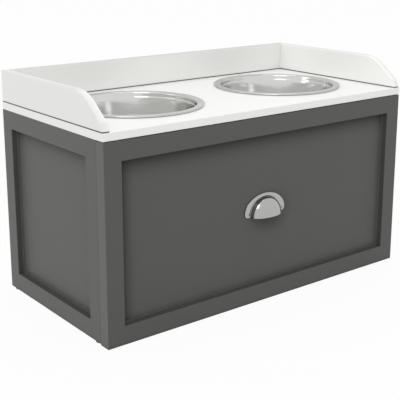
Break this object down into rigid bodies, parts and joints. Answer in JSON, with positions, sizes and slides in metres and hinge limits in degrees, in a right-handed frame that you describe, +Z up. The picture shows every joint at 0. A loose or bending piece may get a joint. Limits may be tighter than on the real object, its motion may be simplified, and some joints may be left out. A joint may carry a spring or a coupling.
{
  "type": "raised pet feeder with drawer",
  "caption": "Raised pet feeding station: a framed cabinet with a full-width drawer and cup pull, a white top with a low gallery, and lift-out steel bowls.",
  "frame": {"origin": "middle of the overall box at floor level, under the middle of the cabinet", "axes": "+X along the front to the right as seen from the front, +Y from the drawer front to the back, +Z up"},
  "size_m": [0.6, 0.3088, 0.364],
  "materials": {
    "painted_front": "dark grey satin lacquer",
    "painted_side": "dark grey satin lacquer",
    "painted_panel": "dark grey satin lacquer",
    "white_board": "white satin lacquer",
    "raw_board": "plain faced board with raw edges",
    "beech": "raw beech",
    "zinc_plated": "zinc plated",
    "ball_steel": "polished",
    "bowl_steel": "polished stainless steel",
    "satin_nickel": "satin nickel on cast zinc",
    "glide_plastic": "moulded black"
  },
  "bodies": {
    "cabinet": {"top_board": "white_board", "gallery_back_rail": "white_board", "gallery_left_cheek": "white_board", "gallery_right_cheek": "white_board", "left_side_front_stile": "painted_side", "left_side_rear_stile": "painted_side", "left_side_top_rail": "painted_side", "left_side_bottom_rail": "painted_side", "left_side_panel": "painted_panel", "right_side_front_stile": "painted_side", "right_side_rear_stile": "painted_side", "right_side_top_rail": "painted_side", "right_side_bottom_rail": "painted_side", "right_side_panel": "painted_panel", "base_board": "raw_board", "back_panel": "raw_board", "side_frame_dowels": "beech", "cabinet_dowels": "beech", "cam_locks": "zinc_plated", "cam_bolts": "zinc_plated", "gallery_screws": "zinc_plated", "gallery_dowels": "beech", "back_panel_screws": "zinc_plated", "glides": "glide_plastic", "runner_channel_left": "zinc_plated", "runner_channel_right": "zinc_plated", "runner_channel_screws": "zinc_plated"},
    "drawer": {"drawer_front_left_stile": "painted_front", "drawer_front_right_stile": "painted_front", "drawer_front_top_rail": "painted_front", "drawer_front_bottom_rail": "painted_front", "drawer_front_panel": "painted_panel", "drawer_front_dowels": "beech", "drawer_box_left_side": "raw_board", "drawer_box_right_side": "raw_board", "drawer_box_inner_front": "raw_board", "drawer_box_back": "raw_board", "drawer_box_bottom": "raw_board", "drawer_box_dowels": "beech", "drawer_front_screws": "zinc_plated", "runner_slide_left": "zinc_plated", "runner_slide_right": "zinc_plated", "runner_slide_screws": "zinc_plated", "cup_pull": "satin_nickel", "pull_screws": "satin_nickel"},
    "cage_left": {"ball_cage_left": "zinc_plated", "balls_left": "ball_steel"},
    "cage_right": {"ball_cage_right": "zinc_plated", "balls_right": "ball_steel"},
    "bowl_left": {"bowl_left": "bowl_steel"},
    "bowl_right": {"bowl_right": "bowl_steel"}
  },
  "joints": [
    {"name": "drawer_slide", "type": "slide", "parent": "cabinet", "child": "drawer", "axis": [0, -1, 0], "range_m": [0, 0.19]},
    {"name": "cage_left_slide", "type": "slide", "parent": "cabinet", "child": "cage_left", "axis": [0, -1, 0], "range_m": [0, 0.095]},
    {"name": "cage_right_slide", "type": "slide", "parent": "cabinet", "child": "cage_right", "axis": [0, -1, 0], "range_m": [0, 0.095]},
    {"name": "bowl_left_lift", "type": "slide", "parent": "cabinet", "child": "bowl_left", "axis": [0, 0, 1], "range_m": [0, 0.12]},
    {"name": "bowl_right_lift", "type": "slide", "parent": "cabinet", "child": "bowl_right", "axis": [0, 0, 1], "range_m": [0, 0.12]}
  ],
  "couplings": [
    {"joint": "cage_left_slide", "follows": "drawer_slide", "ratio": 0.5},
    {"joint": "cage_right_slide", "follows": "drawer_slide", "ratio": 0.5}
  ]
}
